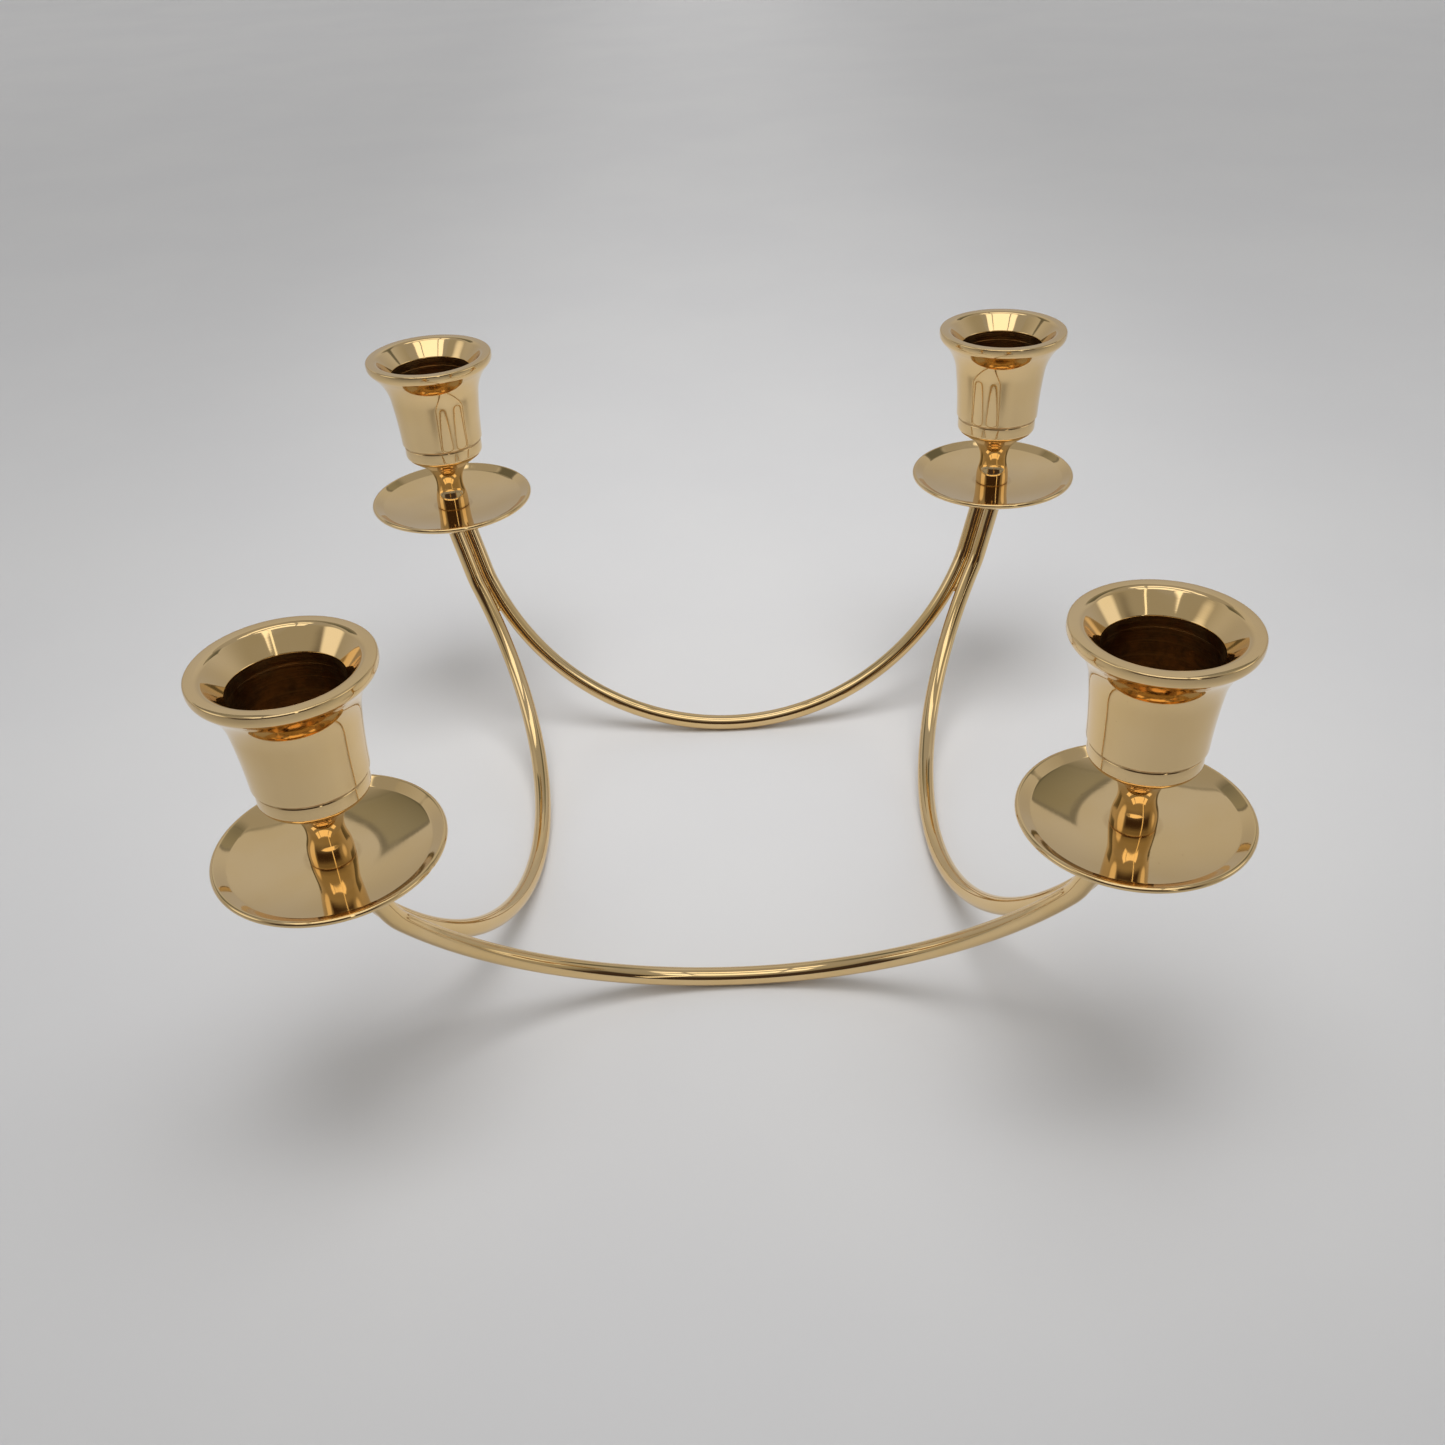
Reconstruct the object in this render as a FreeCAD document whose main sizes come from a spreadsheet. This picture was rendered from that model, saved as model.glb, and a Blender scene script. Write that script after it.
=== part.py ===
import FreeCAD, Part
import math
import os
import re
import Sketcher
from FreeCAD import Placement, Rotation, Vector

# Tabletop candelabra in polished brass. Four round rods, each bent to a wide U, run along
# the sides of a square. At each corner two rods rise side by side, are brazed together and
# end under a turned boss, whose stud clamps a dished drip pan under a candle cup.
# Millimetres and degrees, +Z up. The origin is the middle of the square, on the table.

SIZES = (
    ("cup_spacing", 160, "between neighbouring candle axes"),
    # rods
    ("rod_diameter", 4.5, "round bar"),
    ("rod_gap", 0.2, "brazing gap between the two rods of a corner"),
    ("arc_radius", 78, "wide arc, to the bar's centre line"),
    ("arc_tilt", 26.5, "degrees by which the plane of a wide arc leans out"),
    ("bend_radius", 21, "upper bend, to the bar's centre line"),
    ("leg_lean", 22.9, "degrees between a straight leg and the vertical"),
    ("leg_length", 20, "straight leg before its end is cut level"),
    ("braze_depth", 2.4, "filler metal, measured towards the candelabra's middle"),
    ("braze_width", 3, "filler metal across the pair, before the rods take their room"),
    ("braze_leg_length", 19, "filler metal along the straight legs"),
    ("braze_crotch_length", 8, "filler metal below the upper bend, where the rods part"),
    # mounting stud
    ("boss_top", 66.2, "height of the boss's upper face, under the drip pan"),
    ("boss_diameter", 11, "round boss on the rods' ends"),
    ("boss_thickness", 2.5, "round boss"),
    ("boss_chamfer", 0.4, "lower edge of the boss"),
    ("stud_diameter", 4, "M4 stud"),
    ("stud_length", 11.5, "stud above the boss"),
    ("stud_chamfer", 0.5, "upper end of the stud"),
    ("thread_clearance", 0.05, "all round between the stud and the cup's hole"),
    # drip pan
    ("pan_thickness", 1.3, "sheet"),
    ("pan_hole_clearance", 0.2, "all round between the stud and the pan"),
    ("pan_flat_radius", 6, "level seat in the middle"),
    ("pan_dish_radius", 61.75, "profile of the shallow dish"),
    ("pan_dish_slope", 13.1, "degrees, where the dish meets the rim"),
    ("pan_rim_bend", 1.5, "profile of the bend from the dish into the rim, upper side"),
    ("pan_rim_slope", 30, "degrees, turned-up rim"),
    ("pan_rim_width", 2.2, "straight part of the rim, along its slope"),
    # candle cup: radii from its axis, heights from its foot
    ("foot_radius", 4.65, "neck where it stands on the pan"),
    ("foot_height", 1.2, "upright part of the neck"),
    ("neck_radius", 4.17, "neck where its bulge turns into its waist"),
    ("neck_height", 4.55, "the same place"),
    ("flare_radius", 7.3, "end of the neck's flare"),
    ("flare_height", 14, "the same place"),
    ("base_radius", 10.23, "underside, where its corner starts"),
    ("base_height", 16.2, "the same place"),
    ("band_radius", 10.95, "band under the cove"),
    ("band_start", 17.64, "height of the band's lower edge"),
    ("cove_step_height", 20.25, "step from the band out to the body"),
    ("body_radius", 11.38, "body just above the cove"),
    ("body_straight_radius", 11.45, "end of the body's straight start"),
    ("body_straight_height", 22.5, "the same place"),
    ("body_top_radius", 12.35, "body where it starts to flare"),
    ("body_top_height", 34, "the same place"),
    ("trumpet_radius", 15.55, "end of the flare under the lip"),
    ("trumpet_height", 41.3, "the same place"),
    ("lip_under_radius", 16.85, "straight underside of the lip"),
    ("lip_under_height", 42.75, "the same place"),
    ("lip_radius", 17.45, "widest place of the lip"),
    ("lip_height", 44.3, "the same place"),
    ("lip_edge_radius", 17.4, "lip where it turns over to its flat top"),
    ("lip_edge_height", 45.05, "the same place"),
    ("lip_flat_outer_radius", 17, "outer edge of the lip's flat top"),
    ("lip_flat_inner_radius", 15.5, "inner edge of the lip's flat top"),
    ("lip_flat_height", 45.45, "the lip's flat top"),
    ("funnel_radius", 14.2, "upper end of the funnel's cone"),
    ("funnel_height", 44.85, "the same place"),
    ("mouth_radius", 11.1, "lower end of the funnel"),
    ("mouth_height", 41.2, "the same place"),
    ("bore_radius", 11, "candle bore"),
    ("bore_top", 40.95, "upper end of the bore's straight wall"),
    ("bore_length", 15, "straight wall of the bore"),
    ("bore_corner", 4, "hollow corner at the bottom of the bore"),
    ("cove_centre_radius", 11.35, "ring of the tool that cuts the cove"),
    ("cove_centre_height", 20.4, "the same place"),
    ("cove_radius", 0.55, "profile of the cove"),
    ("thread_depth", 12.5, "hole for the stud, from the foot up"),
)

# each side's name and each corner's name, with its turn about +Z from the front or front right
SIDES = (("front", 0), ("right", 90), ("back", 180), ("left", 270))
CORNERS = (("front_right", 0), ("back_right", 90), ("back_left", 180), ("front_left", 270))

UP = Vector(0, 0, 1)
RIGHT = Vector(1, 0, 0)
FULL_TURN = 360

doc = FreeCAD.newDocument("candelabra")
sheet = doc.addObject("Spreadsheet::Sheet", "Sizes")
for row, (alias, number, note) in enumerate(SIZES, start=1):
    sheet.set("A%d" % row, alias)
    sheet.set("B%d" % row, str(number))
    sheet.set("C%d" % row, note)
    sheet.setAlias("B%d" % row, alias)
doc.recompute()

ALIASES = {alias for alias, number, note in SIZES}
finished = []


def in_sheet(formula):
    """Write a formula's aliases the way that other objects refer to them."""
    return re.sub("[a-z_]+", lambda word: ("Sizes." if word[0] in ALIASES else "") + word[0], formula)


def size(formula):
    """A formula's value, from the sheet."""
    return float(sheet.evalExpression(in_sheet(formula)))


def bind(target, **formulas):
    """Bind an object's properties to formulas."""
    for name, formula in formulas.items():
        target.setExpression(name, in_sheet(formula))


def turned(angle):
    """A turn about +Z."""
    return Placement(Vector(), Rotation(UP, angle))


def finish(shape_object, name):
    """Name a sub-part and put it on the list of those to write."""
    shape_object.Label = name
    finished.append(shape_object)
    return shape_object


# Sketches. An outline is a closed list of corners (x formula, y formula, how it is reached):
# by a straight "line", or by an "arc" that leaves the corner before it without a kink.


def new_sketch(body, name, plane):
    """A sketch on one of the body's own origin planes."""
    sketch = body.newObject("Sketcher::SketchObject", name)
    origin_plane = next(f for f in body.Origin.OriginFeatures if f.Role == plane)
    sketch.AttachmentSupport = [(origin_plane, "")]
    sketch.MapMode = "FlatFace"
    return sketch


def constrain(sketch, *terms, formula=None):
    """Add a constraint, and bind its value to a formula if it has one."""
    if formula is None:
        sketch.addConstraint(Sketcher.Constraint(*terms))
    else:
        index = sketch.addConstraint(Sketcher.Constraint(*terms, size(formula)))
        sketch.setExpression("Constraints[%d]" % index, in_sheet(formula))


def arc_leaving(start, heading, end):
    """The arc from start to end that leaves start along heading, and its heading at the end."""
    chord = end - start
    side = heading.cross(Vector(0, 0, 1)) * -1
    radius = chord.dot(chord) / (2 * chord.dot(side))
    centre = start + side * radius
    anticlockwise = radius > 0
    first, last = (start, end) if anticlockwise else (end, start)
    whole = Part.Circle(centre, Vector(0, 0, 1), abs(radius))
    arc = Part.ArcOfCircle(whole, whole.parameter(first), whole.parameter(last))
    turn = Vector(0, 0, 1).cross(end - centre) * (1 if anticlockwise else -1)
    return arc, turn.normalize(), anticlockwise


def outline(sketch, corners):
    """Draw a closed outline and fix every corner of it."""
    points = [Vector(size(x), size(y), 0) for x, y, reached in corners]
    kinds = [reached for x, y, reached in corners]
    count = len(corners)
    ends = []
    heading = None
    for here in range(count):
        there = (here + 1) % count
        if kinds[there] == "arc":
            curve, heading, forwards = arc_leaving(points[here], heading, points[there])
        else:
            curve = Part.LineSegment(points[here], points[there])
            heading = (points[there] - points[here]).normalize()
            forwards = True
        edge = sketch.addGeometry(curve)
        ends.append((edge, 1, 2) if forwards else (edge, 2, 1))
    for here in range(count):
        edge, first, last = ends[here]
        before, before_first, before_last = ends[here - 1]
        leaves_smoothly = kinds[(here + 1) % count] == "arc"
        joint = "Tangent" if leaves_smoothly else "Coincident"
        constrain(sketch, joint, before, before_last, edge, first)
        x, y, reached = corners[here]
        for direction, axis, formula in (("DistanceX", -2, x), ("DistanceY", -1, y)):
            if formula == "0":
                constrain(sketch, "PointOnObject", edge, first, axis)
            else:
                constrain(sketch, direction, -1, 1, edge, first, formula=formula)


def circle(sketch, x, y, radius):
    """Draw a circle."""
    centre = Vector(size(x), size(y), 0)
    edge = sketch.addGeometry(Part.Circle(centre, Vector(0, 0, 1), size(radius)))
    constrain(sketch, "Radius", edge, formula=radius)
    for direction, axis, formula in (("DistanceX", -2, x), ("DistanceY", -1, y)):
        if formula == "0":
            constrain(sketch, "PointOnObject", edge, 3, axis)
        else:
            constrain(sketch, direction, -1, 1, edge, 3, formula=formula)


def turn_on_lathe(body, kind, name, sketch):
    """Revolve a sketch about the body's upright axis, to add or to remove material."""
    feature = body.newObject(kind, name)
    feature.Profile = sketch
    feature.ReferenceAxis = (sketch, ["V_Axis"])
    feature.Angle = FULL_TURN
    return feature


def removes_material(feature, before):
    """Stop if a cutting feature misses the body."""
    doc.recompute()
    if feature.Shape.Volume > before - 1e-3:
        raise RuntimeError(feature.Label + " removes nothing")


# Rods. The front rod is the pattern for all four. Its wide arc lies in a plane through the
# table's X direction that leans out by arc_tilt. The arc ends where it runs in the upright
# plane through the corner's diagonal; there the upper bend and the straight leg follow.

OUT = Vector(1, -1, 0).normalize()
ACROSS = Vector(1, 1, 0).normalize()
ARC_HALF_ANGLE = "atan(1 / sin(arc_tilt * 1 deg))"
BEND_START_LEAN = "atan(sqrt(2) * tan(arc_tilt * 1 deg))"


def radians(formula):
    """An angle formula's value in radians."""
    return math.radians(size(formula))


def leaning(lean, out=OUT):
    """The direction of a bar that leans outwards from the vertical by an angle in radians."""
    return out * math.sin(lean) + UP * math.cos(lean)


def facing_out(lean, out=OUT):
    """The direction square to that bar, outwards and down."""
    return out * math.cos(lean) - UP * math.sin(lean)


half_angle = radians(ARC_HALF_ANGLE)
tilt = radians("arc_tilt")
start_lean = radians(BEND_START_LEAN)
end_lean = radians("leg_lean")
arc_radius = size("arc_radius")
bend_radius = size("bend_radius")
rod_radius = size("rod_diameter / 2")
pair_offset = size("(rod_diameter + rod_gap) / 2")
leg_top = size("boss_top - boss_thickness")

arc_up = Vector(0, -math.sin(tilt), math.cos(tilt))
reach = arc_radius * math.sin(half_angle)
rise = arc_radius * (1 - math.cos(half_angle))
inset = reach + math.sqrt(2) * pair_offset - rise * math.sin(tilt)
arc_bottom = Vector(0, -inset, rod_radius)
arc_centre = arc_bottom + arc_up * arc_radius
arc_end = arc_bottom + RIGHT * reach + arc_up * rise
bend_end = arc_end + OUT * (bend_radius * (math.cos(end_lean) - math.cos(start_lean)))
bend_end = bend_end + UP * (bend_radius * (math.sin(start_lean) - math.sin(end_lean)))


def bar_arc(name, centre, start, along, radius, angle):
    """A bent stretch of bar about centre, from the start direction towards along."""
    bar = doc.addObject("Part::Torus", name)
    bind(bar, Radius1=radius, Radius2="rod_diameter / 2", Angle3=angle)
    bar.Placement = Placement(centre, Rotation(start, along, start.cross(along), "XYZ"))
    return bar


def mirrored(vector, side):
    """The same vector at the rod's right end (side 1) or left end (side -1)."""
    return Vector(vector.x * side, vector.y, vector.z)


def rod_end(name, side):
    """The upper bend and the straight leg at one end of the front rod."""
    out = mirrored(OUT, side)
    start = facing_out(start_lean, out)
    centre = mirrored(arc_end, side) - start * bend_radius
    bend = bar_arc(name + "_bend", centre, start, leaning(start_lean, out),
                   "bend_radius", BEND_START_LEAN + " - leg_lean * 1 deg")
    leg = doc.addObject("Part::Cylinder", name + "_leg")
    bind(leg, Radius="rod_diameter / 2", Height="leg_length")
    leg.Placement = Placement(mirrored(bend_end, side), Rotation(UP, leaning(end_lean, out)))
    return [bend, leg]


def make_rod(name, angle, above_legs):
    """One whole rod, cut level at both ends."""
    start = RIGHT * -math.sin(half_angle) - arc_up * math.cos(half_angle)
    along = RIGHT * math.cos(half_angle) - arc_up * math.sin(half_angle)
    wide_arc = bar_arc(name + "_arc", arc_centre, start, along, "arc_radius", "2 * " + ARC_HALF_ANGLE)
    bar = doc.addObject("Part::MultiFuse", name + "_bar")
    bar.Shapes = [wide_arc] + rod_end(name + "_right", 1) + rod_end(name + "_left", -1)
    rod = doc.addObject("Part::Cut", name)
    rod.Base = bar
    rod.Tool = above_legs
    rod.Placement = turned(angle)
    return finish(rod, name)


def make_above_legs():
    """The space over the rods' ends, used to cut them level."""
    block = doc.addObject("Part::Box", "above_legs")
    bind(block, Length="2 * cup_spacing", Width="2 * cup_spacing", Height="cup_spacing")
    block.Placement.Base = Vector(-size("cup_spacing"), -size("cup_spacing"), leg_top)
    return block


def make_braze_web(name, angle, rods):
    """Filler metal between the two rods of a corner, along the legs and into the crotch."""
    depth = size("braze_depth")
    width = size("braze_width")
    half_bend = (start_lean - end_lean) / 2
    knee = arc_end + ACROSS * pair_offset
    knee = knee + leaning(start_lean) * (bend_radius * math.tan(half_bend))
    overlap = depth * math.tan(half_bend)
    runs = []
    for part, lean, along, length in (
        ("leg", end_lean, leaning(end_lean), "braze_leg_length"),
        ("crotch", start_lean, leaning(start_lean) * -1, "braze_crotch_length"),
    ):
        run = doc.addObject("Part::Box", name + "_" + part)
        bind(run, Length="braze_width", Width="braze_depth", Height=length)
        square = along.cross(ACROSS)
        corner = knee - along * overlap - ACROSS * (width / 2) - square * (depth / 2)
        run.Placement = turned(angle) * Placement(corner, Rotation(ACROSS, square, along, "XYZ"))
        runs.append(run)
    filler = doc.addObject("Part::MultiFuse", name + "_filler")
    filler.Shapes = runs
    pair = doc.addObject("Part::MultiFuse", name + "_rods")
    pair.Shapes = rods
    web = doc.addObject("Part::Cut", name)
    web.Base = filler
    web.Tool = pair
    return finish(web, name)


# Turned and spun pieces of a corner, each about its own upright axis.

STUD_OUTLINE = (
    ("0", "0", "line"),
    ("boss_diameter / 2 - boss_chamfer", "0", "line"),
    ("boss_diameter / 2", "boss_chamfer", "line"),
    ("boss_diameter / 2", "boss_thickness", "line"),
    ("stud_diameter / 2", "boss_thickness", "line"),
    ("stud_diameter / 2", "boss_thickness + stud_length - stud_chamfer", "line"),
    ("stud_diameter / 2 - stud_chamfer", "boss_thickness + stud_length", "line"),
    ("0", "boss_thickness + stud_length", "line"),
)


def make_mounting_stud(name, place):
    """A round boss with the stud that passes through the pan into the cup."""
    body = doc.addObject("PartDesign::Body", name)
    section = new_sketch(body, name + "_section", "XZ_Plane")
    outline(section, STUD_OUTLINE)
    turn_on_lathe(body, "PartDesign::Revolution", name + "_turning", section)
    body.Placement = place
    return finish(body, name)


DISH = "pan_dish_slope * 1 deg"
RIM = "pan_rim_slope * 1 deg"
DISH_EDGE_X = "pan_flat_radius + pan_dish_radius * sin(" + DISH + ")"
DISH_EDGE_Y = "pan_thickness + pan_dish_radius * (1 - cos(" + DISH + "))"
RIM_START_X = DISH_EDGE_X + " + pan_rim_bend * (sin(" + RIM + ") - sin(" + DISH + "))"
RIM_START_Y = DISH_EDGE_Y + " + pan_rim_bend * (cos(" + DISH + ") - cos(" + RIM + "))"
RIM_END_X = RIM_START_X + " + pan_rim_width * cos(" + RIM + ")"
RIM_END_Y = RIM_START_Y + " + pan_rim_width * sin(" + RIM + ")"

PAN_OUTLINE = (
    ("stud_diameter / 2 + pan_hole_clearance", "pan_thickness", "line"),
    ("pan_flat_radius", "pan_thickness", "line"),
    (DISH_EDGE_X, DISH_EDGE_Y, "arc"),
    (RIM_START_X, RIM_START_Y, "arc"),
    (RIM_END_X, RIM_END_Y, "line"),
    (RIM_END_X + " + pan_thickness * sin(" + RIM + ")",
     RIM_END_Y + " - pan_thickness * cos(" + RIM + ")", "arc"),
    (RIM_START_X + " + pan_thickness * sin(" + RIM + ")",
     RIM_START_Y + " - pan_thickness * cos(" + RIM + ")", "line"),
    (DISH_EDGE_X + " + pan_thickness * sin(" + DISH + ")",
     DISH_EDGE_Y + " - pan_thickness * cos(" + DISH + ")", "arc"),
    ("pan_flat_radius", "0", "arc"),
    ("stud_diameter / 2 + pan_hole_clearance", "0", "line"),
)


def make_drip_pan(name, place):
    """A dished pan of even thickness with a round edge and a hole for the stud."""
    body = doc.addObject("PartDesign::Body", name)
    section = new_sketch(body, name + "_section", "XZ_Plane")
    outline(section, PAN_OUTLINE)
    turn_on_lathe(body, "PartDesign::Revolution", name + "_dish", section)
    body.Placement = place
    return finish(body, name)


CUP_OUTLINE = (
    ("0", "0", "line"),
    ("foot_radius", "0", "line"),
    ("foot_radius", "foot_height", "line"),
    ("neck_radius", "neck_height", "arc"),
    ("flare_radius", "flare_height", "arc"),
    ("base_radius", "base_height", "line"),
    ("band_radius", "band_start", "arc"),
    ("band_radius", "cove_step_height", "line"),
    ("body_radius", "cove_step_height", "line"),
    ("body_straight_radius", "body_straight_height", "line"),
    ("body_top_radius", "body_top_height", "arc"),
    ("trumpet_radius", "trumpet_height", "arc"),
    ("lip_under_radius", "lip_under_height", "line"),
    ("lip_radius", "lip_height", "arc"),
    ("lip_edge_radius", "lip_edge_height", "arc"),
    ("lip_flat_outer_radius", "lip_flat_height", "arc"),
    ("lip_flat_inner_radius", "lip_flat_height", "line"),
    ("funnel_radius", "funnel_height", "arc"),
    ("mouth_radius", "mouth_height", "line"),
    ("bore_radius", "bore_top", "arc"),
    ("bore_radius", "bore_top - bore_length", "line"),
    ("bore_radius - bore_corner", "bore_top - bore_length - bore_corner", "arc"),
    ("0", "bore_top - bore_length - bore_corner", "line"),
)


def make_candle_cup(name, place):
    """Cup and neck, turned in one piece, with a cove round the body and a hole in the foot."""
    body = doc.addObject("PartDesign::Body", name)
    section = new_sketch(body, name + "_section", "XZ_Plane")
    outline(section, CUP_OUTLINE)
    turning = turn_on_lathe(body, "PartDesign::Revolution", name + "_turning", section)
    doc.recompute()
    cove_sketch = new_sketch(body, name + "_cove_sketch", "XZ_Plane")
    circle(cove_sketch, "cove_centre_radius", "cove_centre_height", "cove_radius")
    cove = turn_on_lathe(body, "PartDesign::Groove", name + "_cove", cove_sketch)
    removes_material(cove, turning.Shape.Volume)
    hole_sketch = new_sketch(body, name + "_hole_sketch", "XY_Plane")
    circle(hole_sketch, "0", "0", "stud_diameter / 2 + thread_clearance")
    doc.recompute()
    hole = body.newObject("PartDesign::Hole", name + "_hole")
    hole.Profile = hole_sketch
    hole.Reversed = True
    hole.DepthType = "Dimension"
    bind(hole, Diameter="stud_diameter + 2 * thread_clearance", Depth="thread_depth")
    removes_material(hole, cove.Shape.Volume)
    body.Placement = place
    return finish(body, name)


def check_document():
    """Stop if any object failed, or a sub-part isn't one valid solid."""
    doc.recompute()
    for item in doc.Objects:
        if "Invalid" in item.State or "Error" in item.State:
            raise RuntimeError(item.Label + " failed: " + ", ".join(item.State))
    for item in finished:
        shape = item.Shape
        if shape.isNull() or not shape.isValid() or len(shape.Solids) != 1:
            raise RuntimeError(item.Label + " isn't one valid solid")


above_legs = make_above_legs()
rods = {side: make_rod("rod_" + side, angle, above_legs) for side, angle in SIDES}
axis_offset = size("cup_spacing / 2")
foot_height = size("boss_top + pan_thickness")
for corner, angle in CORNERS:
    depth_side, width_side = corner.split("_")
    make_braze_web("braze_web_" + corner, angle, [rods[depth_side], rods[width_side]])
    at = turned(angle).multVec(Vector(axis_offset, -axis_offset, 0))
    make_mounting_stud("mounting_stud_" + corner, Placement(at + UP * leg_top, Rotation()))
    make_drip_pan("drip_pan_" + corner, Placement(at + UP * size("boss_top"), Rotation()))
    make_candle_cup("candle_cup_" + corner, Placement(at + UP * foot_height, Rotation()))

check_document()
os.makedirs("parts", exist_ok=True)
for item in finished:
    item.Shape.exportStep(os.path.join("parts", item.Label + ".step"))
    print("%-28s %9.1f mm3" % (item.Label, item.Shape.Volume))
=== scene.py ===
import math

import bmesh
import bpy
from mathutils import Matrix, Vector, noise


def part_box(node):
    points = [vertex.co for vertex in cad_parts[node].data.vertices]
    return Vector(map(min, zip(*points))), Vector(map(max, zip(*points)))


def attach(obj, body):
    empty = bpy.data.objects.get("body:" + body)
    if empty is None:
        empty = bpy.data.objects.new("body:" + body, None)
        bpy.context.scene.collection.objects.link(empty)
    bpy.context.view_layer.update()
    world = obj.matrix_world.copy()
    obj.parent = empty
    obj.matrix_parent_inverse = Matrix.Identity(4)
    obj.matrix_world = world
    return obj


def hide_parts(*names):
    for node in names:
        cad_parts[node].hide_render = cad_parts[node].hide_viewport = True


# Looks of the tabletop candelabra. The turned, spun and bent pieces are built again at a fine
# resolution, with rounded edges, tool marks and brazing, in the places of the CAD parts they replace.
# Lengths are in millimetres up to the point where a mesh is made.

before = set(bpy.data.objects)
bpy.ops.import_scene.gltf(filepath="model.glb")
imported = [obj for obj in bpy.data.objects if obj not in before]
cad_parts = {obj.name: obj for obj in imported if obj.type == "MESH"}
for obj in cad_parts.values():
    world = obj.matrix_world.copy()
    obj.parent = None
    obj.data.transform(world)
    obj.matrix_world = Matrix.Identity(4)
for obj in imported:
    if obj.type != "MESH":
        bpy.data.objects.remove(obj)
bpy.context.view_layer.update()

MM = 0.001
CORNERS = (("front_right", 0), ("back_right", 90), ("back_left", 180), ("front_left", 270))
SIDES = (("front", 0), ("right", 90), ("back", 180), ("left", 270))
UP = Vector((0, 0, 1))
ON_AXIS = 1e-6
STRAIGHT = 1e-9


# Profiles. A profile is a list of (radius, height) points. Outlines are corners with the way
# each is reached: by a "line", or by an "arc" that leaves the corner before it without a kink.


def arc_points(start, heading, end, step=math.radians(3), longest=0.6):
    """Points after start on the arc that leaves start along heading, and the last heading."""
    chord = end - start
    side = Vector((-heading.y, heading.x))
    across = chord.dot(side)
    if abs(across) < STRAIGHT:
        return [end], heading
    radius = chord.length_squared / (2 * across)
    centre = start + side * radius
    sweep = 2 * math.atan2(across, chord.dot(heading))
    count = max(2, math.ceil(abs(sweep) / step), math.ceil(abs(sweep * radius) / longest))
    points = []
    for index in range(1, count + 1):
        turn = Matrix.Rotation(sweep * index / count, 2)
        points.append(centre + turn @ (start - centre))
    return points, Matrix.Rotation(sweep, 2) @ heading


def trace(corners):
    """The points along an open outline."""
    here = Vector(corners[0][:2])
    points = [here]
    heading = None
    for x, y, reached in corners[1:]:
        there = Vector((x, y))
        if reached == "arc":
            more, heading = arc_points(here, heading, there)
            points += more
        else:
            heading = (there - here).normalized()
            points.append(there)
        here = there
    return points


def soften(points, radius, kink=math.radians(18), steps=5, share=0.45):
    """Round the sharp corners of a line of points, as polishing does."""
    result = [points[0]]
    for before, here, after in zip(points, points[1:], points[2:]):
        first = before - here
        last = after - here
        turn = math.pi - first.angle(last)
        if turn < kink or here.x < ON_AXIS:
            result.append(here)
            continue
        reach = min(radius * math.tan(turn / 2), first.length * share, last.length * share)
        start = here + first.normalized() * reach
        end = here + last.normalized() * reach
        for index in range(steps + 1):
            t = index / steps
            result.append(start.lerp(here, t).lerp(here.lerp(end, t), t))
    result.append(points[-1])
    return result


def divide(points, longest):
    """Add points so that no step is longer than this."""
    result = [points[0]]
    for start, end in zip(points, points[1:]):
        count = max(1, math.ceil((end - start).length / longest))
        result += [start.lerp(end, index / count) for index in range(1, count + 1)]
    return result


# Meshes


def new_piece(name, mesh, materials, node, place=Vector()):
    """A piece that stands for a CAD node."""
    for face in mesh.polygons:
        face.use_smooth = True
    for material in materials:
        mesh.materials.append(material)
    piece = bpy.data.objects.new(name, mesh)
    piece.location = place
    bpy.context.scene.collection.objects.link(piece)
    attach(piece, "root")
    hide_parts(node)
    return piece


def mesh_from(name, vertices, faces, marks=None):
    """A mesh in metres from vertices in millimetres, with marks as named point attributes."""
    mesh = bpy.data.meshes.new(name)
    mesh.from_pydata([v * MM for v in vertices], [], faces)
    for mark, values in (marks or {}).items():
        attribute = mesh.attributes.new(mark, "FLOAT", "POINT")
        attribute.data.foreach_set("value", values)
    shell = bmesh.new()
    shell.from_mesh(mesh)
    bmesh.ops.recalc_face_normals(shell, faces=shell.faces)
    shell.to_mesh(mesh)
    shell.free()
    return mesh


def band(first, second, closed=True):
    """Faces between two equal rings of vertex numbers."""
    count = len(first)
    last = count if closed else count - 1
    return [(first[k], first[(k + 1) % count], second[(k + 1) % count], second[k])
            for k in range(last)]


def lathe(name, profile, marks, segments=168, loop=False, shape=None):
    """Turn a profile about the upright axis. marks maps a name to a function of (r, z)."""
    vertices = []
    rings = []
    values = {mark: [] for mark in marks}
    for point in profile:
        on_axis = point.x < ON_AXIS
        ring = []
        for k in range(1 if on_axis else segments):
            angle = math.tau * k / segments
            vertex = Vector((point.x * math.cos(angle), point.x * math.sin(angle), point.y))
            ring.append(len(vertices))
            vertices.append(shape(vertex) if shape else vertex)
            for mark, function in marks.items():
                values[mark].append(function(point.x, point.y))
        rings.append(ring)
    faces = []
    pairs = list(zip(rings, rings[1:]))
    if loop:
        pairs.append((rings[-1], rings[0]))
    for first, second in pairs:
        if len(first) == 1:
            count = len(second)
            faces += [(first[0], second[k], second[(k + 1) % count]) for k in range(count)]
        elif len(second) == 1:
            count = len(first)
            faces += [(first[k], first[(k + 1) % count], second[0]) for k in range(count)]
        else:
            faces += band(first, second)
    return mesh_from(name, vertices, faces, values)


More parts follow.
